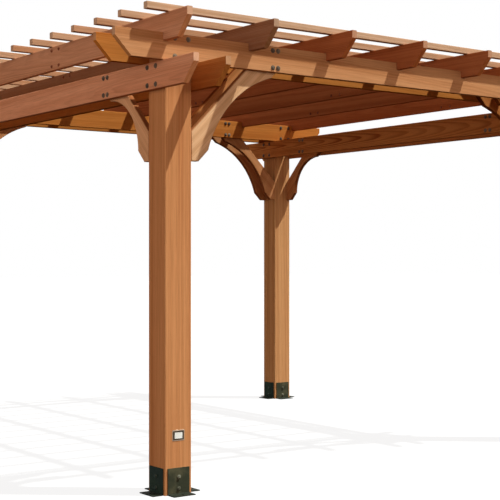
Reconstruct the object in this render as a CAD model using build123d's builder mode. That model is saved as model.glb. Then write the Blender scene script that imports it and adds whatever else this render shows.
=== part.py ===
"""A square garden pergola of sawn timber: four posts in steel bases, two crossing layers of twin
beams, knee braces, notched rafters and a deck of light battens.

Units are millimetres. Z is up, and the origin is on the ground at the centre of the four posts.
Beams of the lower layer run along Y, beams of the upper layer along X, rafters along Y and battens
along X. The front is -Y and the left is -X.
"""

import os
from math import sqrt

from build123d import *

os.makedirs("parts", exist_ok=True)

# Posts
post_side = 162
post_corner = 4
bay_x = 3048
bay_y = 3048
head_height = 2095

# Twin beams, two boards on edge that sandwich a row of posts
beam_thickness = 32
beam_height = 140
beam_overhang = 312
beam_nose = 42
lower_undercut = 92
upper_undercut = 95
board_arris = 2.5

# Rafters, notched over the upper beams
rafter_count = 7
rafter_thickness = 32
rafter_height = 140
rafter_overhang = 256
rafter_nose = 42
rafter_undercut = 92
notch_depth = 42
notch_clearance = 0.5

# Battens on the rafters
batten_count = 14
batten_width = 36
batten_height = 36
batten_setback = 168
batten_overhang = 128
batten_arris = 2

# Knee braces, boards at 45 degrees between the post and the beam
brace_thickness = 35
brace_width = 142
brace_drop = 366
brace_foot = 46
brace_chin = 62
lower_brace_hollow = 85
upper_brace_hollow = 76
lower_brace_lip = 12
upper_brace_lip = 29
brace_arris = 3

# Steel post bases
plate_thickness = 5
plate_width = 132
plate_height = 139
plate_foot = 64
plate_bend = 4
plate_bolt_heights = (32, 92)
plate_bolt_hole = 11
anchor_reach = 40
anchor_hole = 14

# Levels and lines that the pieces share
post_half = post_side / 2
post_rows_x = (-bay_x / 2, bay_x / 2)
post_rows_y = (-bay_y / 2, bay_y / 2)
upper_level = head_height + beam_height
post_top = upper_level + beam_height
rafter_level = post_top - notch_depth
batten_level = rafter_level + rafter_height
beam_offset = post_half + beam_thickness / 2
brace_offset = post_half - brace_thickness / 2
side_names = ("left", "right")
front_names = ("front", "back")
sides = (-1, 1)


def save(builder, label):
    """Name a finished piece and write it to its own file."""
    builder.part.label = label
    export_step(builder.part, f"parts/{label}.step")


def board_outline(length, height, nose, undercut):
    """Corners of a board on edge, seen from its side: the top is the longest line, and each end
    has a short upright nose with a slanting cut below it."""
    half = length / 2
    return [
        (-half, height),
        (-half, height - nose),
        (-half + undercut, 0),
        (half - undercut, 0),
        (half, height - nose),
        (half, height),
    ]


def plane_along_x(y, z):
    """An upright plane whose first direction is +X and second is +Z."""
    return Plane(origin=(0, y, z), x_dir=(1, 0, 0), z_dir=(0, -1, 0))


def plane_along_y(x, z):
    """An upright plane whose first direction is +Y and second is +Z."""
    return Plane(origin=(x, 0, z), x_dir=(0, 1, 0), z_dir=(1, 0, 0))


# Posts: one square timber each, from the ground to the top of the upper beams.
def build_post(x, y, label):
    with BuildPart() as post:
        with BuildSketch(Plane(origin=(x, y, 0))):
            Rectangle(post_side, post_side)
        extrude(amount=post_top)
        chamfer(post.edges().filter_by(Axis.Z), post_corner)
    save(post, label)


# Post bases: four bent plates that clasp the post, each with two bolt holes in its upright leg and
# one anchor hole in its foot. The plates stay clear of each other at the post's corners.
def build_base(x, y, label):
    with BuildPart() as base:
        for side in range(4):
            outward = Vector(1, 0, 0).rotate(Axis.Z, 90 * side)
            across = outward.rotate(Axis.Z, -90)
            with BuildSketch(Plane(origin=(x, y, 0), x_dir=outward, z_dir=across)) as profile:
                with BuildLine():
                    Polyline(
                        (post_half, 0),
                        (post_half + plate_foot, 0),
                        (post_half + plate_foot, plate_thickness),
                        (post_half + plate_thickness, plate_thickness),
                        (post_half + plate_thickness, plate_height),
                        (post_half, plate_height),
                        close=True,
                    )
                make_face()
                inside = (post_half + plate_thickness, plate_thickness)
                fillet(profile.vertices().sort_by_distance(inside)[0], plate_bend)
                outside = (post_half, 0)
                fillet(profile.vertices().sort_by_distance(outside)[0], plate_bend + plate_thickness)
            extrude(amount=plate_width / 2, both=True)
            with BuildSketch(Plane(origin=Vector(x, y, 0) + outward * post_half, x_dir=across, z_dir=outward)):
                with Locations(*[(0, height) for height in plate_bolt_heights]):
                    Circle(plate_bolt_hole / 2)
            extrude(amount=plate_thickness, mode=Mode.SUBTRACT)
        with BuildSketch(Plane(origin=(x, y, 0))):
            with PolarLocations(post_half + anchor_reach, 4):
                Circle(anchor_hole / 2)
        extrude(amount=plate_thickness, mode=Mode.SUBTRACT)
    save(base, label)


# Beams: plain boards on edge with undercut ends.
def build_beam(plane, length, undercut, label):
    with BuildPart() as beam:
        with BuildSketch(plane):
            with BuildLine():
                Polyline(*board_outline(length, beam_height, beam_nose, undercut), close=True)
            make_face()
        extrude(amount=beam_thickness / 2, both=True)
        chamfer(beam.edges().filter_by(Axis(plane.origin, plane.x_dir)), board_arris)
    save(beam, label)


# Knee braces: boards on edge, laid at 45 degrees, one on each of the given planes. The foot is level
# and bears on nothing, the back butts against the post, and the head runs up between the two boards
# of the beam. The lower edge is hollowed to an arc from the chin to a short lip under the beam.
def build_brace(planes, beam_bottom, beam_top, hollow, lip, label):
    foot_level = head_height - brace_drop
    foot_reach = post_half + brace_foot
    lower_line = foot_level - foot_reach
    upper_line = lower_line + brace_width * sqrt(2)
    chin = (foot_reach + brace_chin, foot_level + brace_chin)
    heel = (beam_bottom - lip - lower_line, beam_bottom - lip)
    with BuildPart() as brace:
        for plane in planes:
            with BuildSketch(plane):
                with BuildLine():
                    Polyline((foot_reach, foot_level), chin)
                    SagittaArc(chin, heel, hollow)
                    Polyline(
                        heel,
                        (beam_top - lower_line, beam_top),
                        (beam_top - upper_line, beam_top),
                        (post_half, post_half + upper_line),
                        (post_half, foot_level),
                        (foot_reach, foot_level),
                    )
                make_face()
            extrude(amount=brace_thickness / 2, both=True)
        cheeks = brace.faces().filter_by(Axis(planes[0].origin, planes[0].z_dir))
        chamfer(cheeks.edges(), brace_arris)
    save(brace, label)


# Rafters: boards on edge with undercut tails, notched down over the four upper boards.
def build_rafter(x, label):
    plane = plane_along_y(x, rafter_level)
    length = bay_y + post_side + 2 * rafter_overhang
    notch_centres = [row + side * beam_offset for row in post_rows_y for side in sides]
    with BuildPart() as rafter:
        with BuildSketch(plane):
            with BuildLine():
                Polyline(*board_outline(length, rafter_height, rafter_nose, rafter_undercut), close=True)
            make_face()
        extrude(amount=rafter_thickness / 2, both=True)
        chamfer(rafter.edges().filter_by(Axis.Y), board_arris)
        with BuildSketch(plane):
            with Locations(*[(centre, notch_depth / 2) for centre in notch_centres]):
                Rectangle(beam_thickness + 2 * notch_clearance, notch_depth)
        extrude(amount=rafter_thickness / 2, both=True, mode=Mode.SUBTRACT)
    save(rafter, label)


# Battens: light square strips across all the rafters.
def build_batten(y, label):
    length = bay_x + post_side + 2 * (beam_thickness + batten_overhang)
    with BuildPart() as batten:
        with BuildSketch(plane_along_x(y, batten_level)):
            with Locations((0, batten_height / 2)):
                Rectangle(length, batten_height)
        extrude(amount=batten_width / 2, both=True)
        chamfer(batten.edges().filter_by(Axis.X), batten_arris)
    save(batten, label)


# At each post the long brace is a pair of boards in line with the post's front and back faces. The
# short brace is a single board in line with the face on the outside of the pergola.
for row_x, side_name, inward_x in zip(post_rows_x, side_names, (1, -1)):
    for row_y, front_name, inward_y in zip(post_rows_y, front_names, (1, -1)):
        corner = f"{front_name}_{side_name}"
        build_post(row_x, row_y, f"post_{corner}")
        build_base(row_x, row_y, f"base_{corner}")
        long_planes = [
            Plane(
                origin=(row_x, row_y + side * brace_offset, 0),
                x_dir=(inward_x, 0, 0),
                z_dir=(0, -inward_x, 0),
            )
            for side in sides
        ]
        label = f"long_brace_{corner}"
        build_brace(long_planes, upper_level, post_top, upper_brace_hollow, upper_brace_lip, label)
        short_plane = Plane(
            origin=(row_x - inward_x * brace_offset, row_y, 0),
            x_dir=(0, inward_y, 0),
            z_dir=(inward_y, 0, 0),
        )
        label = f"short_brace_{corner}"
        build_brace([short_plane], head_height, upper_level, lower_brace_hollow, lower_brace_lip, label)

lower_length = bay_y + post_side + 2 * beam_overhang
upper_length = bay_x + post_side + 2 * beam_overhang
for row_x, side_name in zip(post_rows_x, side_names):
    for side, side_of_post in zip(sides, ("a", "b")):
        plane = plane_along_y(row_x + side * beam_offset, head_height)
        build_beam(plane, lower_length, lower_undercut, f"lower_beam_{side_name}_{side_of_post}")
for row_y, front_name in zip(post_rows_y, front_names):
    for side, side_of_post in zip(sides, ("a", "b")):
        plane = plane_along_x(row_y + side * beam_offset, upper_level)
        build_beam(plane, upper_length, upper_undercut, f"upper_beam_{front_name}_{side_of_post}")

# The outer rafters stand against the posts' outer faces, and the others are spaced evenly between.
outer_rafter = bay_x / 2 + post_half + rafter_thickness / 2
rafter_pitch = 2 * outer_rafter / (rafter_count - 1)
for index in range(rafter_count):
    build_rafter(-outer_rafter + index * rafter_pitch, f"rafter_{index + 1}")

outer_batten = bay_y / 2 + post_half + rafter_overhang - batten_setback - batten_width / 2
batten_pitch = 2 * outer_batten / (batten_count - 1)
for index in range(batten_count):
    build_batten(-outer_batten + index * batten_pitch, f"batten_{index + 1:02d}")
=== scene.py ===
import math
import random

import bmesh
import bpy
from mathutils import Euler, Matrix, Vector


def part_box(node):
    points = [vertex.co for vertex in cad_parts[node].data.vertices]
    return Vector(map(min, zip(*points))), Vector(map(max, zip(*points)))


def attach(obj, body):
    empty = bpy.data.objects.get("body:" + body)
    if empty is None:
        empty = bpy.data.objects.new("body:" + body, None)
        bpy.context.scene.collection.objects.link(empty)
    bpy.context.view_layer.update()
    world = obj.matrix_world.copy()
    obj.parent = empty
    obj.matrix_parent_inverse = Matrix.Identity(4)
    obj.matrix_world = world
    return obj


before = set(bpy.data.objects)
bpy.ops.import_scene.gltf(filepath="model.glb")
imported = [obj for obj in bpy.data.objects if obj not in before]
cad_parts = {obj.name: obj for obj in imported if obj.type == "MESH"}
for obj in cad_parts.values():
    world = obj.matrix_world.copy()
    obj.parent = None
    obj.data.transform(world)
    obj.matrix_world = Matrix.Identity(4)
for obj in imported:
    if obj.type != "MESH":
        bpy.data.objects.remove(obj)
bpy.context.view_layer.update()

# ---- Steel post bases ------------------------------------------------------------------------
# Four plates clasp the foot of each post, and a level flange of each rests on the ground. They are folded
# from 5 mm steel and painted near black. The paint has dulled to a green-grey, and the sides turned left and
# right are painted darker and bluer as painted shade.

corners = [f"{row}_{side}" for row in ("front", "back") for side in ("left", "right")]


def add_node(tree, kind, inputs=None, **settings):
    """A new node of a tree. An input given another node's socket is linked to it."""
    node = tree.nodes.new(kind)
    for name, value in settings.items():
        setattr(node, name, value)
    for name, value in (inputs or {}).items():
        if isinstance(value, bpy.types.NodeSocket):
            tree.links.new(value, node.inputs[name])
        else:
            node.inputs[name].default_value = value
    return node


def new_material(name):
    """An empty node material, and its tree with the output and one principled shader."""
    material = bpy.data.materials.new(name)
    material.use_nodes = True
    tree = material.node_tree
    tree.nodes.clear()
    shader = add_node(tree, "ShaderNodeBsdfPrincipled")
    add_node(tree, "ShaderNodeOutputMaterial", {"Surface": shader.outputs["BSDF"]})
    return material, tree, shader


def noise(tree, place, scale, detail=2.0, roughness=0.5):
    """Smooth noise over a place, as a value from 0 to 1 about one half."""
    return add_node(
        tree, "ShaderNodeTexNoise",
        {"Vector": place, "Scale": scale, "Detail": detail, "Roughness": roughness},
    ).outputs["Fac"]


def spread(tree, value, low, high, to_low=0.0, to_high=1.0, smooth=False):
    """A value between low and high, spread over another range and clamped to it."""
    return add_node(
        tree, "ShaderNodeMapRange",
        {"Value": value, "From Min": low, "From Max": high, "To Min": to_low, "To Max": to_high},
        interpolation_type="SMOOTHSTEP" if smooth else "LINEAR",
    ).outputs["Result"]


def blend(tree, share, first, second, way="MIX"):
    """Two colours mixed by a share, each a socket or red, green and blue."""
    node = add_node(tree, "ShaderNodeMix", data_type="RGBA", blend_type=way)
    for socket, value in zip((node.inputs[0], node.inputs[6], node.inputs[7]), (share, first, second)):
        if isinstance(value, bpy.types.NodeSocket):
            tree.links.new(value, socket)
        else:
            socket.default_value = (*value, 1.0) if isinstance(value, tuple) else value
    return node.outputs[2]


SPLASHED_EARTH = (0.018, 0.022, 0.017)


def painted_steel(name, paint, dust, metallic, shine, shaded_side=None):
    """Painted steel: clouds of dulled paint, fine specks, and a lightly pebbled surface. What lies on the
    ground is darkened by splashed earth. Where a shaded side is given, the faces turned left and right are
    multiplied by it, a painted shade."""
    material, tree, shader = new_material(name)
    place = add_node(tree, "ShaderNodeTexCoord").outputs["Object"]
    clouds = spread(tree, noise(tree, place, 14.0, 5.0), 0.38, 0.68, smooth=True)
    specks = spread(tree, noise(tree, place, 420.0, 2.0), 0.60, 0.74)
    colour = blend(tree, clouds, paint, dust)
    colour = blend(tree, spread(tree, specks, 0.0, 1.0, 0.0, 0.35), colour, dust)
    level = add_node(tree, "ShaderNodeSeparateXYZ", {0: place}).outputs["Z"]
    splashed_to = 0.004
    clean_from = 0.014
    splash_share = 0.82
    splashed = spread(tree, level, splashed_to, clean_from, splash_share, 0.0, smooth=True)
    colour = blend(tree, splashed, colour, SPLASHED_EARTH)
    # Painted shade: faces turned left and right are made darker by the shaded side.
    if shaded_side:
        normal = add_node(tree, "ShaderNodeNewGeometry").outputs["Normal"]
        facing = add_node(tree, "ShaderNodeSeparateXYZ", {0: normal}).outputs["X"]
        sideways = add_node(tree, "ShaderNodeMath", {0: facing}, operation="ABSOLUTE").outputs[0]
        side_shade_painted = blend(tree, 1.0, colour, shaded_side, "MULTIPLY")
        colour = blend(tree, spread(tree, sideways, 0.6, 0.9, smooth=True), colour, side_shade_painted)
    tree.links.new(colour, shader.inputs["Base Color"])
    tree.links.new(spread(tree, clouds, 0.0, 1.0, shine, shine + 0.18), shader.inputs["Roughness"])
    shader.inputs["Metallic"].default_value = metallic
    shader.inputs["Specular IOR Level"].default_value = 0.03
    pebbles = add_node(
        tree, "ShaderNodeBump",
        {"Height": noise(tree, place, 900.0, 3.0), "Strength": 0.25, "Distance": 0.0004},
    )
    tree.links.new(pebbles.outputs["Normal"], shader.inputs["Normal"])
    return material


def finish(node, material):
    """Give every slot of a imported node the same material."""
    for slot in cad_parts[node].material_slots:
        slot.material = material


# Painted shade for the faces turned left and right: darker and bluer.
SIDE_SHADE_PAINTED = (0.30, 0.55, 0.70)
base_finish = painted_steel(
    "base_steel", paint=(0.038, 0.044, 0.028), dust=(0.086, 0.086, 0.050), metallic=0.0, shine=0.50,
    shaded_side=SIDE_SHADE_PAINTED,
)
for corner in corners:
    finish(f"base_{corner}", base_finish)

# ---- Bolts of the post bases -------------------------------------------------------------------
# Each upright leg is held to the post by two six-sided bolts through its holes. The heads are
# forged with a round collar, and their paint has dulled a little paler than the plates'.


def bolt_tree():
    """Bolt heads on the points of a mesh, each facing the way that its point names: a washer, a
    coned collar and a six-sided head with a chamfered top, turned by chance about its own axis."""
    tree = bpy.data.node_groups.new("bolts_on_points", "GeometryNodeTree")
    tree.interface.new_socket("Points", in_out="INPUT", socket_type="NodeSocketGeometry")
    for name in ("Washer radius", "Washer thickness", "Head radius", "Head height"):
        tree.interface.new_socket(name, in_out="INPUT", socket_type="NodeSocketFloat")
    tree.interface.new_socket("Seed", in_out="INPUT", socket_type="NodeSocketInt")
    tree.interface.new_socket("Finish", in_out="INPUT", socket_type="NodeSocketMaterial")
    tree.interface.new_socket("Bolts", in_out="OUTPUT", socket_type="NodeSocketGeometry")
    given = add_node(tree, "NodeGroupInput").outputs

    def times(socket, share):
        inputs = {0: given[socket] if isinstance(socket, str) else socket, 1: share}
        return add_node(tree, "ShaderNodeMath", inputs, operation="MULTIPLY").outputs[0]

    def plus(first, second):
        return add_node(tree, "ShaderNodeMath", {0: first, 1: second}, operation="ADD").outputs[0]

    def raised_cone(sides, bottom, top, height, level):
        cone = add_node(
            tree, "GeometryNodeMeshCone",
            {"Vertices": sides, "Radius Bottom": bottom, "Radius Top": top, "Depth": height},
        )
        place = add_node(tree, "ShaderNodeCombineXYZ", {"Z": level})
        return add_node(
            tree, "GeometryNodeTransform",
            {"Geometry": cone.outputs["Mesh"], "Translation": place.outputs[0]},
        ).outputs[0]

    # Collar, flats and chamfer share the height of the head
    collar_share = 0.30
    flats_share = 0.58
    chamfer_share = 0.12
    washer_radius = given["Washer radius"]
    washer_top = given["Washer thickness"]
    head_radius = given["Head radius"]
    collar_height = times("Head height", collar_share)
    collar_top = plus(washer_top, collar_height)
    flats_height = times("Head height", flats_share)
    flats_top = plus(collar_top, flats_height)
    chamfer_height = times("Head height", chamfer_share)
    parts = [
        raised_cone(22, washer_radius, times("Washer radius", 0.93), washer_top, 0.0),
        raised_cone(18, times("Head radius", 1.42), times("Head radius", 1.08), collar_height, washer_top),
        raised_cone(6, head_radius, head_radius, flats_height, collar_top),
        raised_cone(6, head_radius, times("Head radius", 0.80), chamfer_height, flats_top),
    ]
    joined = add_node(tree, "GeometryNodeJoinGeometry")
    for part in parts:
        tree.links.new(part, joined.inputs[0])
    facing = add_node(tree, "GeometryNodeInputNamedAttribute", {"Name": "facing"}, data_type="FLOAT_VECTOR")
    turned = add_node(
        tree, "FunctionNodeAlignRotationToVector", {"Vector": facing.outputs["Attribute"]}, axis="Z"
    )
    chance = add_node(tree, "FunctionNodeRandomValue", {"Seed": given["Seed"]}, data_type="FLOAT")
    chance.inputs[3].default_value = math.tau
    spin = add_node(tree, "ShaderNodeCombineXYZ", {"Z": chance.outputs[1]})
    spun = add_node(
        tree, "FunctionNodeRotateRotation",
        {"Rotation": turned.outputs[0], "Rotate By": spin.outputs[0]}, rotation_space="LOCAL",
    )
    placed = add_node(
        tree, "GeometryNodeInstanceOnPoints",
        {"Points": given["Points"], "Instance": joined.outputs[0], "Rotation": spun.outputs[0]},
    )
    solid = add_node(tree, "GeometryNodeRealizeInstances", {"Geometry": placed.outputs[0]})
    painted = add_node(
        tree, "GeometryNodeSetMaterial", {"Geometry": solid.outputs[0], "Material": given["Finish"]}
    )
    add_node(tree, "NodeGroupOutput", {"Bolts": painted.outputs[0]})
    return tree


bolts_on_points = bolt_tree()


def set_bolts(name, places, sizes, seed, material):
    """Bolt heads at places, each a point and the way that it faces, as one plain mesh."""
    points = bpy.data.meshes.new(name + "_points")
    points.from_pydata([point for point, way in places], [], [])
    facing = points.attributes.new("facing", "FLOAT_VECTOR", "POINT")
    facing.data.foreach_set("vector", [part for point, way in places for part in way])
    piece = bpy.data.objects.new(name, points)
    bpy.context.scene.collection.objects.link(piece)
    modifier = piece.modifiers.new("bolts", "NODES")
    modifier.node_group = bolts_on_points
    given = dict(sizes, Seed=seed, Finish=material)
    for socket in bolts_on_points.interface.items_tree:
        if socket.in_out == "INPUT" and socket.name in given:
            modifier[socket.identifier] = given[socket.name]
    shown = piece.evaluated_get(bpy.context.evaluated_depsgraph_get())
    solid = bpy.data.meshes.new_from_object(shown)
    piece.modifiers.clear()
    piece.data = solid
    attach(piece, "root")
    return piece


# The bolt heads take the same painted shade on their faces turned left and right.
base_bolt_finish = painted_steel(
    "base_bolt_steel", paint=(0.070, 0.074, 0.052), dust=(0.190, 0.195, 0.145), metallic=0.0, shine=0.50,
    shaded_side=SIDE_SHADE_PAINTED,
)
plate_thickness = 0.005
plate_bolt_heights = (0.032, 0.092)
base_bolt = {
    "Washer radius": 0.0105, "Washer thickness": 0.002, "Head radius": 0.0078, "Head height": 0.006,
}
ways_round = (Vector((1, 0, 0)), Vector((0, 1, 0)), Vector((-1, 0, 0)), Vector((0, -1, 0)))


def middle(node):
    """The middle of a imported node's box."""
    low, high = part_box(node)
    return (low + high) / 2


post_half = (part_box("post_front_left")[1].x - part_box("post_front_left")[0].x) / 2
base_bolt_places = []
for corner in corners:
    foot = middle(f"post_{corner}").xy.to_3d()
    for way in ways_round:
        for height in plate_bolt_heights:
            face = foot + way * (post_half + plate_thickness)
            base_bolt_places.append((face + Vector((0, 0, height)), way))
set_bolts("bolts_of_bases", base_bolt_places, base_bolt, 3, base_bolt_finish)

# ---- Posts -----------------------------------------------------------------------------------
# Each post is one squared timber, sawn clear of the tree's heart, planed and stained a warm tan that lets
# the growth rings and the long fibres show. The eased corners are painted paler as a painted highlight, and
# the back right post is paler on its front and back, with its sides painted darker as painted shade.

SAW = random.Random(41)
# Slanting cuts painted paler and yellower: painted light from below.
SLANTING_CUT_PAINTED_LIGHT = (1.22, 1.13, 0.90)
DULL_END = (0.69, 0.57, 0.41)


def timber_grain():
    """Sawn softwood in a board's own directions: X runs along the grain, and the tree's heart is
    the line Y = Z = 0. Gives the colour, the roughness and a height for the bump."""
    tree = bpy.data.node_groups.new("timber_grain", "ShaderNodeTree")
    for name, kind in (
        ("Place", "Vector"), ("Length way", "Vector"), ("Ring width", "Float"),
        ("Pale", "Color"), ("Warm", "Color"), ("Dark", "Color"), ("Contrast", "Float"),
        ("Face way", "Vector"), ("Edge stain and shade", "Color"), ("Corner highlight", "Color"),
    ):
        tree.interface.new_socket(name, in_out="INPUT", socket_type=f"NodeSocket{kind}")
    for name, kind in (("Color", "Color"), ("Roughness", "Float"), ("Height", "Float")):
        tree.interface.new_socket(name, in_out="OUTPUT", socket_type=f"NodeSocket{kind}")
    given = add_node(tree, "NodeGroupInput").outputs

    def stretched(along, across):
        return add_node(
            tree, "ShaderNodeVectorMath",
            {0: given["Place"], 1: (along, across, across)}, operation="MULTIPLY",
        ).outputs[0]

    def reckon(way, first, second=0.0):
        return add_node(tree, "ShaderNodeMath", {0: first, 1: second}, operation=way).outputs[0]

    # Growth rings: distance from the heart, bent a little along the trunk
    off_heart = add_node(tree, "ShaderNodeVectorMath", {0: stretched(0.0, 1.0)}, operation="LENGTH")
    bend = reckon("MULTIPLY", reckon("SUBTRACT", noise(tree, stretched(0.55, 5.0), 1.0, 2.0), 0.5), 0.030)
    ripple = reckon("MULTIPLY", reckon("SUBTRACT", noise(tree, stretched(3.0, 40.0), 1.0, 1.0), 0.5), 0.0022)
    ring_place = reckon("ADD", reckon("ADD", off_heart.outputs["Value"], bend), ripple)
    ring_count = reckon("DIVIDE", ring_place, given["Ring width"])
    age = reckon("FRACT", ring_count)
    late_wood = reckon(
        "MULTIPLY",
        spread(tree, age, 0.30, 0.86, smooth=True),
        spread(tree, age, 0.90, 1.0, 1.0, 0.0, smooth=True),
    )
    good_years = add_node(
        tree, "ShaderNodeTexNoise", {"W": ring_count, "Scale": 0.21, "Detail": 2.0}, noise_dimensions="1D"
    ).outputs["Fac"]
    good_band = spread(tree, good_years, 0.36, 0.66, smooth=True)
    rings = reckon("MULTIPLY", late_wood, spread(tree, good_band, 0.0, 1.0, 0.3, 1.0))

    # Fibres, broad streaks and the slow drift of the stain
    fibres = noise(tree, stretched(6.0, 420.0), 1.0, 2.0)
    streaks = noise(tree, stretched(0.7, 30.0), 1.0, 3.0)
    drift = noise(tree, stretched(0.35, 3.5), 1.0, 2.0)
    warmth = spread(
        tree, reckon("ADD", reckon("MULTIPLY", streaks, 0.6), reckon("MULTIPLY", drift, 0.4)),
        0.36, 0.64, smooth=True,
    )
    warmth = reckon("ADD", reckon("MULTIPLY", warmth, 0.55), reckon("MULTIPLY", good_band, 0.45))
    colour = blend(tree, warmth, given["Pale"], given["Warm"])
    ring_share = reckon("MULTIPLY", rings, given["Contrast"])
    colour = blend(tree, ring_share, colour, given["Dark"])
    pores = spread(tree, noise(tree, stretched(22.0, 900.0), 1.0, 1.0), 0.66, 0.76, 0.0, 0.35)
    colour = blend(tree, pores, colour, given["Dark"])

    # Sawn edges are darker, partly from more stain and partly as painted shade on tops and undersides.
    # Slanting cuts are painted paler as painted light from below, and square-cut ends are duller and greyer.
    # The painted highlight on eased corners is given for each board
    normal = add_node(tree, "ShaderNodeNewGeometry").outputs["Normal"]

    def turned_to(way):
        dot = add_node(tree, "ShaderNodeVectorMath", {0: normal, 1: given[way]}, operation="DOT_PRODUCT")
        return reckon("ABSOLUTE", dot.outputs["Value"])

    def between(share, none_to, all_from, all_to, none_from):
        """One in the middle of a range of shares, and nothing outside it."""
        rise = spread(tree, share, none_to, all_from)
        fall = spread(tree, share, all_to, none_from, 1.0, 0.0)
        return reckon("MULTIPLY", rise, fall)

    def stained(wood, share, stain):
        return blend(tree, share, wood, blend(tree, 1.0, wood, stain, "MULTIPLY"))

    end_share = turned_to("Length way")
    face_share = turned_to("Face way")
    edge = reckon(
        "MULTIPLY",
        spread(tree, face_share, 0.55, 0.85, 1.0, 0.0, smooth=True),
        spread(tree, end_share, 0.68, 0.72, 1.0, 0.0),
    )
    # Long edges darker: partly stain, partly painted shade.
    colour = stained(colour, edge, given["Edge stain and shade"])
    # Eased corners painted paler: a painted highlight.
    colour = stained(colour, between(face_share, 0.62, 0.68, 0.74, 0.80), given["Corner highlight"])
    # Painted light from below on the slanting cuts.
    colour = stained(colour, between(end_share, 0.68, 0.72, 0.76, 0.84), SLANTING_CUT_PAINTED_LIGHT)
    end_grain = spread(tree, end_share, 0.80, 0.95, smooth=True)
    grey = blend(tree, 0.5, given["Pale"], DULL_END)
    colour = blend(tree, spread(tree, end_grain, 0.0, 1.0, 0.0, 0.6), colour, grey)
    tone = spread(tree, fibres, 0.30, 0.70, 0.88, 1.10)
    toned = add_node(tree, "ShaderNodeCombineXYZ", {"X": tone, "Y": tone, "Z": tone}).outputs[0]
    colour = blend(tree, 1.0, colour, toned, "MULTIPLY")
    hardness = reckon("SUBTRACT", fibres, reckon("MULTIPLY", rings, 0.4))
    roughness = spread(tree, hardness, 0.0, 0.8, 0.48, 0.68)
    height = reckon("ADD", reckon("MULTIPLY", rings, 0.45), reckon("MULTIPLY", fibres, 0.55))
    add_node(tree, "NodeGroupOutput", {"Color": colour, "Roughness": roughness, "Height": height})
    return tree


grain = timber_grain()
NO_CHANGE = (1.0, 1.0, 1.0)
# Darker long edges: partly stain, partly painted shade.
DARK_EDGE_AND_SHADE = (0.70, 0.56, 0.46)


def stain_board(
    node, length_way, face_way, stain, heart_reach, tint=NO_CHANGE, edge_stain_and_shade=DARK_EDGE_AND_SHADE,
    second_board=NO_CHANGE, contrast=0.36, arched=False, corner_highlight=NO_CHANGE,
):
    """Give one timber its own cut of the tree: the way of its grain, how far off the heart it was
    sawn, the width of its rings, and a stain that took a little more or less than on the next.

    A tint changes the colour of a chosen board, and on some boards it also carries painted shade. The face
    way is square to the broad faces. The edge stain darkens the long edges, partly as stain and partly as
    painted shade, and the corner stain paints the eased corners paler as a painted highlight. Where a node
    is a pair of boards, the second board is the one further along the face way, and has a tint of its own,
    on one pair partly painted shade. An arched board is sawn askew across wide rings, which show on its face
    as pointed arches."""
    material, tree, shader = new_material(f"{node}_timber")
    shader.inputs["Specular IOR Level"].default_value = 0.0
    turn = Vector((1, 0, 0)).rotation_difference(length_way)
    slight = 0.7
    askew = [SAW.uniform(-slight, slight), 2.0 if arched else SAW.uniform(-slight, slight)]
    sawn_askew = Euler([0.0, *(math.radians(angle) for angle in askew)])
    near, far = heart_reach
    heart = Vector((
        0.0 if arched else SAW.uniform(-40.0, 40.0),
        SAW.choice((-1, 1)) * SAW.uniform(near, far),
        0.008 if arched else SAW.choice((-1, 1)) * SAW.uniform(0.0, far * 0.6),
    ))
    set_up = {
        "Vector": add_node(tree, "ShaderNodeTexCoord").outputs["Object"],
        "Location": middle(node) + turn @ heart,
        "Rotation": (turn @ sawn_askew.to_quaternion()).to_euler(),
    }
    place = add_node(tree, "ShaderNodeMapping", set_up, vector_type="TEXTURE")
    took = SAW.uniform(0.95, 1.05)
    redness = SAW.uniform(-0.03, 0.03)
    shares = (took * (1 + redness), took * (1 - redness), took * (1 - 2 * redness))
    pale, warm, dark = [
        (*(part * share * change for part, share, change in zip(colour, shares, tint)), 1.0)
        for colour in stain
    ]
    pattern = add_node(tree, "ShaderNodeGroup", node_tree=grain)
    tree.links.new(place.outputs[0], pattern.inputs["Place"])
    pattern.inputs["Length way"].default_value = length_way
    pattern.inputs["Ring width"].default_value = 0.0085 if arched else SAW.uniform(0.0030, 0.0055)
    pattern.inputs["Pale"].default_value = pale
    pattern.inputs["Warm"].default_value = warm
    pattern.inputs["Dark"].default_value = dark
    pattern.inputs["Contrast"].default_value = contrast
    pattern.inputs["Face way"].default_value = face_way
    pattern.inputs["Edge stain and shade"].default_value = (*edge_stain_and_shade, 1.0)
    pattern.inputs["Corner highlight"].default_value = (*corner_highlight, 1.0)
    colour = pattern.outputs["Color"]
    if second_board != NO_CHANGE:
        across = add_node(
            tree, "ShaderNodeVectorMath", {0: set_up["Vector"], 1: face_way}, operation="DOT_PRODUCT"
        ).outputs["Value"]
        half_way = middle(node).dot(face_way)
        further = add_node(tree, "ShaderNodeMath", {0: across, 1: half_way}, operation="GREATER_THAN")
        changed = blend(tree, 1.0, colour, second_board, "MULTIPLY")
        colour = blend(tree, further.outputs[0], colour, changed)
    tree.links.new(colour, shader.inputs["Base Color"])
    tree.links.new(pattern.outputs["Roughness"], shader.inputs["Roughness"])
    relief = add_node(
        tree, "ShaderNodeBump",
        {"Height": pattern.outputs["Height"], "Strength": 0.35, "Distance": 0.0008},
    )
    tree.links.new(relief.outputs["Normal"], shader.inputs["Normal"])
    finish(node, material)


UP = Vector((0, 0, 1))
ALONG_X = Vector((1, 0, 0))
ALONG_Y = Vector((0, 1, 0))
post_stain = ((0.640, 0.318, 0.134), (0.500, 0.210, 0.081), (0.260, 0.082, 0.025))
post_reach = (0.09, 0.16)
post_tints = {"back_right": (1.08, 1.22, 1.28)}
# Painted shade: the back right post's side faces are darkened through its edge stain.
post_side_shades = {"back_right": (0.78, 0.76, 0.72)}
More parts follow.
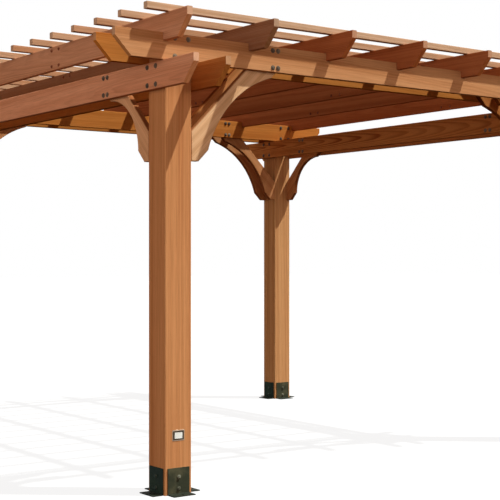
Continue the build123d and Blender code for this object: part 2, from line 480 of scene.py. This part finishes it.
# Painted highlight on the eased corners of the posts.
painted_corner_highlight = (1.30, 1.50, 1.60)
for corner in corners:
    tint = post_tints.get(corner, NO_CHANGE)
    post_side_shade = post_side_shades.get(corner, NO_CHANGE)
    stain_board(
        f"post_{corner}", UP, ALONG_Y, post_stain, post_reach, tint, post_side_shade,
        contrast=0.24, corner_highlight=painted_corner_highlight,
    )

# ---- Lower beams -----------------------------------------------------------------------------
# Twin boards on edge run from front to back on the left and right faces of the posts. They are sawn from
# wide planks, stained a little redder than the posts, and bolted through them. The outer one on the left and
# the arched one on the right took the stain in their own ways, and the inner one on the left is tinted
# darker and warmer, partly its own tone and partly painted shade.

beam_stain = ((0.610, 0.285, 0.125), (0.500, 0.205, 0.080), (0.270, 0.085, 0.028))
lower_beams = [f"lower_beam_{side}_{board}" for side in ("left", "right") for board in ("a", "b")]
lower_tints = {
    "lower_beam_left_a": (1.24, 1.38, 1.86),
    # The inner left board is darker, partly its own tone and partly painted shade.
    "lower_beam_left_b": (0.80, 0.72, 0.48),
    "lower_beam_right_a": (1.0, 1.0, 0.76),
}
plank_reach = (0.05, 0.14)
arched_reach = (0.060, 0.065)
for board in lower_beams:
    tint = lower_tints.get(board, NO_CHANGE)
    arched = board == "lower_beam_right_a"
    reach = arched_reach if arched else plank_reach
    contrast = 1.0 if arched else 0.26
    stain_board(board, ALONG_Y, ALONG_X, beam_stain, reach, tint, contrast=contrast, arched=arched)

# ---- Upper beams -----------------------------------------------------------------------------
# Twin boards on edge cross them on the front and back faces of the posts, resting on the lower beams. They
# are of the same planks and finish, and the foremost is the palest. The boards behind it are tinted deep
# orange, partly painted shade: the colour of wood lit only by light bounced off wood.

upper_beams = [f"upper_beam_{row}_{board}" for row in ("front", "back") for board in ("a", "b")]
foremost_tint = (1.00, 1.11, 1.18)
# Painted shade: the deep orange of boards lit by light bounced off wood.
orange_shade_tint = (0.94, 0.82, 0.44)
for board in upper_beams:
    tint = foremost_tint if board == "upper_beam_front_a" else orange_shade_tint
    stain_board(board, ALONG_X, ALONG_Y, beam_stain, plank_reach, tint, contrast=0.22)

# ---- Knee braces -----------------------------------------------------------------------------
# Braces at 45 degrees stiffen each post towards its beams: a pair of boards towards the upper beams, and one
# on the outside towards the lower ones. Each is band-sawn from a wide plank to a hollow lower edge and
# stained with the grain along its slope. The sawn edges are darkest, partly from the stain and partly as
# painted shade.

# Band-sawn edges darker still: partly stain, partly painted shade.
BAND_SAWN_EDGE_AND_SHADE = (0.42, 0.28, 0.20)
brace_stain = ((0.620, 0.310, 0.140), (0.510, 0.225, 0.090), (0.280, 0.095, 0.032))
brace_tints = {"front_left": (1.26, 1.58, 1.95), "front_right": (1.0, 0.84, 0.58)}
# The back board of the front left pair is darker and redder: partly its own tone, partly painted shade.
second_tints = {"front_left": (0.74, 0.52, 0.34)}
darker_second = (0.92, 0.86, 0.80)
for corner in corners:
    inward_x = 1 if corner.endswith("left") else -1
    inward_y = 1 if corner.startswith("front") else -1
    slope_x = Vector((inward_x, 0, 1)).normalized()
    slope_y = Vector((0, inward_y, 1)).normalized()
    tint = brace_tints.get(corner, NO_CHANGE)
    second = second_tints.get(corner, darker_second)
    stain_board(
        f"long_brace_{corner}", slope_x, ALONG_Y, brace_stain, plank_reach, tint, BAND_SAWN_EDGE_AND_SHADE, second
    )
    stain_board(f"short_brace_{corner}", slope_y, ALONG_X, brace_stain, plank_reach, tint, BAND_SAWN_EDGE_AND_SHADE)

# ---- Bolts of the beams and braces -----------------------------------------------------------
# Four bolts pass through both boards and the post, and four through both boards and the head of
# each brace. A bolt shows a washer and a head on each side, in a dull brown-grey paint.

bolt_finish = painted_steel(
    "bolt_steel", paint=(0.108, 0.088, 0.066), dust=(0.250, 0.206, 0.152), metallic=0.0, shine=0.50
)
beam_bolt = {
    "Washer radius": 0.0140, "Washer thickness": 0.0025, "Head radius": 0.0080, "Head height": 0.0055,
}
bolt_inset = 0.023
post_bolt_half_gap = 0.041
lower_brace_bolts = (0.460, 0.502)
upper_brace_bolts = (0.591, 0.627)


def bolt_rows(pair, length_way, across, posts, brace_bolts):
    """Where bolts show on the two outer faces of a pair of boards, at its posts and braces."""
    places = []
    low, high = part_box(pair[0])
    levels = (low.z + bolt_inset, high.z - bolt_inset)
    outer_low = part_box(pair[0])[0].dot(across)
    outer_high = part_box(pair[1])[1].dot(across)
    for post in posts:
        stand = middle(post).dot(length_way)
        inward = -math.copysign(1.0, stand)
        marks = [stand - post_bolt_half_gap, stand + post_bolt_half_gap]
        marks += [stand + inward * reach for reach in brace_bolts]
        for mark in marks:
            for level in levels:
                on_line = length_way * mark + UP * level
                places.append((on_line + across * outer_low, -across))
                places.append((on_line + across * outer_high, across))
    return places


lower_places = []
for side in ("left", "right"):
    pair = [f"lower_beam_{side}_{board}" for board in ("a", "b")]
    posts = [f"post_{row}_{side}" for row in ("front", "back")]
    lower_places += bolt_rows(pair, ALONG_Y, ALONG_X, posts, lower_brace_bolts)
set_bolts("bolts_of_lower_beams", lower_places, beam_bolt, 5, bolt_finish)

upper_places = []
for row in ("front", "back"):
    pair = [f"upper_beam_{row}_{board}" for board in ("a", "b")]
    posts = [f"post_{row}_{side}" for side in ("left", "right")]
    upper_places += bolt_rows(pair, ALONG_X, ALONG_Y, posts, upper_brace_bolts)
set_bolts("bolts_of_upper_beams", upper_places, beam_bolt, 8, bolt_finish)

# ---- Rafters ---------------------------------------------------------------------------------
# Seven boards on edge are notched down over the upper beams. Each is one length of wood here. Its
# four brown bolts stand where two lengths would be joined, to the front and the back in turn.

rafter_stain = ((0.560, 0.250, 0.105), (0.450, 0.180, 0.068), (0.240, 0.075, 0.024))
rafters = [f"rafter_{number}" for number in range(1, 8)]
rafter_tints = {"rafter_1": (1.31, 1.46, 1.98), "rafter_2": (0.66, 0.80, 1.12)}
red_rafter = (0.84, 0.66, 0.62)
# Darker long edges of the rafters: partly stain, partly painted shade.
rafter_edge_and_shade = (0.86, 0.80, 0.74)
for board in rafters:
    tint = rafter_tints.get(board, red_rafter)
    stain_board(board, ALONG_Y, ALONG_X, rafter_stain, plank_reach, tint, rafter_edge_and_shade)

rafter_bolt = {
    "Washer radius": 0.0100, "Washer thickness": 0.002, "Head radius": 0.0065, "Head height": 0.005,
}
joint_off_centre = 0.446
joint_half_gap = 0.045
brown_finish = painted_steel(
    "brown_bolts", paint=(0.230, 0.078, 0.040), dust=(0.340, 0.135, 0.070), metallic=0.0, shine=0.50
)
rafter_places = []
for number, board in enumerate(rafters):
    low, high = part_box(board)
    joint = -joint_off_centre if number % 2 == 0 else joint_off_centre
    for mark in (joint - joint_half_gap, joint + joint_half_gap):
        for level in (low.z + bolt_inset, high.z - bolt_inset):
            rafter_places.append((Vector((low.x, mark, level)), -ALONG_X))
            rafter_places.append((Vector((high.x, mark, level)), ALONG_X))
set_bolts("bolts_of_rafters", rafter_places, rafter_bolt, 13, brown_finish)

# ---- Battens ---------------------------------------------------------------------------------
# Fourteen light strips lie across the rafters. They are ripped from paler outer wood, some of it
# redder, and one screw from above holds each of them to each rafter.

batten_stain = ((0.600, 0.400, 0.260), (0.520, 0.310, 0.175), (0.320, 0.150, 0.070))
battens = [f"batten_{number:02d}" for number in range(1, 15)]
redder_wood = (0.94, 0.82, 0.75)
batten_reach = (0.04, 0.12)
# Darker long edges of the battens: partly stain, partly painted shade.
batten_edge_and_shade = (0.80, 0.72, 0.66)
batten_tints = {"batten_01": (1.05, 1.10, 1.14)}
batten_tints.update((f"batten_{number:02d}", redder_wood) for number in (3, 4, 6, 7, 10, 12))
for strip in battens:
    tint = batten_tints.get(strip, NO_CHANGE)
    stain_board(strip, ALONG_X, ALONG_Y, batten_stain, batten_reach, tint, batten_edge_and_shade)

screw = {
    "Washer radius": 0.0045, "Washer thickness": 0.0006, "Head radius": 0.0022, "Head height": 0.0006,
}
screw_places = []
for strip in battens:
    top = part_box(strip)[1].z
    for board in rafters:
        screw_places.append((Vector((middle(board).x, middle(strip).y, top)), UP))
set_bolts("screws_of_battens", screw_places, screw, 21, brown_finish)

# ---- Card plate --------------------------------------------------------------------------------
# A small holder lies flat on the front face of the front left post: a stamped dark bronze frame
# with a thin bright edge, round a blank card of near white.

plate_level = 0.306


def rounded_loop(width, height, radius, steps=5):
    """The corner points of an upright rounded rectangle, taken the left way round."""
    loop = []
    for turn, (side, rise) in enumerate(((1, 1), (-1, 1), (-1, -1), (1, -1))):
        centre = (side * (width / 2 - radius), rise * (height / 2 - radius))
        for step in range(steps + 1):
            angle = math.pi / 2 * (turn + step / steps)
            loop.append((centre[0] + radius * math.cos(angle), centre[1] + radius * math.sin(angle)))
    return loop


def stamped_plate(name, rims, material):
    """A closed plate from rims, each a width, a height, a corner radius and how far it stands off
    the post. The first rim lies on the post, and the last one is filled."""
    post = "post_front_left"
    face = Vector((middle(post).x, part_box(post)[0].y, plate_level))
    mesh = bmesh.new()
    loops = []
    for width, height, radius, stand_off in rims:
        corners_of_rim = rounded_loop(width, height, radius)
        loops.append([mesh.verts.new(face + Vector((x, -stand_off, z))) for x, z in corners_of_rim])
    for inner, outer in zip(loops, loops[1:]):
        for here, there in zip(range(len(inner)), [*range(1, len(inner)), 0]):
            mesh.faces.new((inner[here], inner[there], outer[there], outer[here]))
    mesh.faces.new(loops[-1])
    mesh.faces.new(loops[0][::-1])
    bmesh.ops.recalc_face_normals(mesh, faces=mesh.faces)
    data = bpy.data.meshes.new(name)
    mesh.to_mesh(data)
    mesh.free()
    data.materials.append(material)
    piece = bpy.data.objects.new(name, data)
    bpy.context.scene.collection.objects.link(piece)
    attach(piece, "root")
    return piece


bright_finish = painted_steel(
    "plate_edge_metal", paint=(0.46, 0.36, 0.27), dust=(0.34, 0.26, 0.19), metallic=0.6, shine=0.30
)
bronze_finish = painted_steel(
    "plate_bronze", paint=(0.030, 0.021, 0.013), dust=(0.060, 0.045, 0.028), metallic=0.4, shine=0.34
)
card_finish = painted_steel(
    "plate_card", paint=(0.88, 0.95, 0.92), dust=(0.82, 0.89, 0.86), metallic=0.0, shine=0.55
)
stamped_plate(
    "plate_edge",
    [(0.074, 0.056, 0.004, 0.0), (0.074, 0.056, 0.004, 0.0010), (0.073, 0.055, 0.0035, 0.0014)],
    bright_finish,
)
stamped_plate(
    "plate_frame",
    [
        (0.064, 0.046, 0.003, 0.0012), (0.064, 0.046, 0.003, 0.0028), (0.061, 0.043, 0.0025, 0.0036),
        (0.050, 0.036, 0.002, 0.0036), (0.048, 0.034, 0.002, 0.0020),
    ],
    bronze_finish,
)
stamped_plate(
    "plate_card",
    [(0.047, 0.033, 0.0015, 0.0018), (0.047, 0.033, 0.0015, 0.0023)],
    card_finish,
)

# ---- Floor, light and camera -----------------------------------------------------------------
# A plain white floor that keeps the pergola's shadow, and a surround that looks plain white and
# lights the wood warmly, most of all from low down. One high lamp stands to the front right, like
# a clear noon, and the camera is level, at chest height.

floor_reach = 60.0
floor_mesh = bpy.data.meshes.new("floor")
floor_mesh.from_pydata(
    [(x * floor_reach, y * floor_reach, 0.0) for x, y in ((-1, -1), (1, -1), (1, 1), (-1, 1))],
    [], [(0, 1, 2, 3)],
)
floor = bpy.data.objects.new("floor", floor_mesh)
bpy.context.scene.collection.objects.link(floor)
floor_finish = bpy.data.materials.new("floor")
floor_finish.use_nodes = True
tree = floor_finish.node_tree
tree.nodes.clear()


def seen_share(tree):
    """One for rays from the camera and for those mirrored or sent through by a surface."""
    rays = add_node(tree, "ShaderNodeLightPath").outputs
    first = add_node(
        tree, "ShaderNodeMath", {0: rays["Is Camera Ray"], 1: rays["Is Glossy Ray"]}, operation="MAXIMUM"
    )
    return add_node(
        tree, "ShaderNodeMath", {0: first.outputs[0], 1: rays["Is Transmission Ray"]}, operation="MAXIMUM"
    ).outputs[0]


shaded = add_node(tree, "ShaderNodeBsdfDiffuse", {"Color": (0.12, 0.12, 0.12, 1.0)})
white = add_node(tree, "ShaderNodeEmission", {"Color": (1.0, 1.0, 1.0, 1.0), "Strength": 0.88})
seen = add_node(tree, "ShaderNodeAddShader", {0: shaded.outputs[0], 1: white.outputs[0]})
unseen = add_node(tree, "ShaderNodeBsdfDiffuse", {"Color": (0.060, 0.045, 0.035, 1.0)})
either = add_node(
    tree, "ShaderNodeMixShader", {0: seen_share(tree), 1: unseen.outputs[0], 2: seen.outputs[0]}
)
add_node(tree, "ShaderNodeOutputMaterial", {"Surface": either.outputs[0]})
floor_mesh.materials.append(floor_finish)

world = bpy.data.worlds.new("surround")
bpy.context.scene.world = world
world.use_nodes = True
tree = world.node_tree
tree.nodes.clear()
ray_way = add_node(tree, "ShaderNodeTexCoord").outputs["Generated"]
ray_parts = add_node(tree, "ShaderNodeSeparateXYZ", {0: ray_way}).outputs
low_band = spread(tree, ray_parts["Z"], 0.0, 0.6, 1.55, 0.12, smooth=True)
left_side = spread(tree, ray_parts["X"], -1.0, 1.0, 1.20, 0.90, smooth=True)
front_side = spread(tree, ray_parts["Y"], -1.0, 1.0, 1.12, 0.92, smooth=True)
sides = add_node(tree, "ShaderNodeMath", {0: left_side, 1: front_side}, operation="MULTIPLY").outputs[0]
strength = add_node(tree, "ShaderNodeMath", {0: low_band, 1: sides}, operation="MULTIPLY").outputs[0]
soft = add_node(tree, "ShaderNodeBackground", {"Color": (1.0, 0.775, 0.675, 1.0), "Strength": strength})
plain = add_node(tree, "ShaderNodeBackground", {"Color": (1.0, 1.0, 1.0, 1.0), "Strength": 1.0})
either = add_node(
    tree, "ShaderNodeMixShader", {0: seen_share(tree), 1: soft.outputs[0], 2: plain.outputs[0]}
)
add_node(tree, "ShaderNodeOutputWorld", {"Surface": either.outputs[0]})

lamp = bpy.data.lights.new("noon_lamp", "SUN")
lamp.energy = 5.3
lamp.color = (0.98, 1.0, 0.96)
lamp.angle = math.radians(1.2)
lamp_stand = bpy.data.objects.new("noon_lamp", lamp)
light_way = Vector((-1.24, 1.0, -2.88))
lamp_stand.rotation_euler = light_way.to_track_quat("-Z", "Y").to_euler()
bpy.context.scene.collection.objects.link(lamp_stand)

lens = bpy.data.cameras.new("camera")
lens.sensor_width = 36.0
lens.lens = 86.40
lens.shift_y = 0.01613
lens.clip_end = 300.0
camera = bpy.data.objects.new("camera", lens)
camera.location = (-4.8991, -6.8280, 1.2225)
camera.rotation_euler = (math.radians(90.0), 0.0, math.radians(-36.288))
bpy.context.scene.collection.objects.link(camera)
bpy.context.scene.camera = camera
bpy.context.scene.view_settings.view_transform = "Standard"
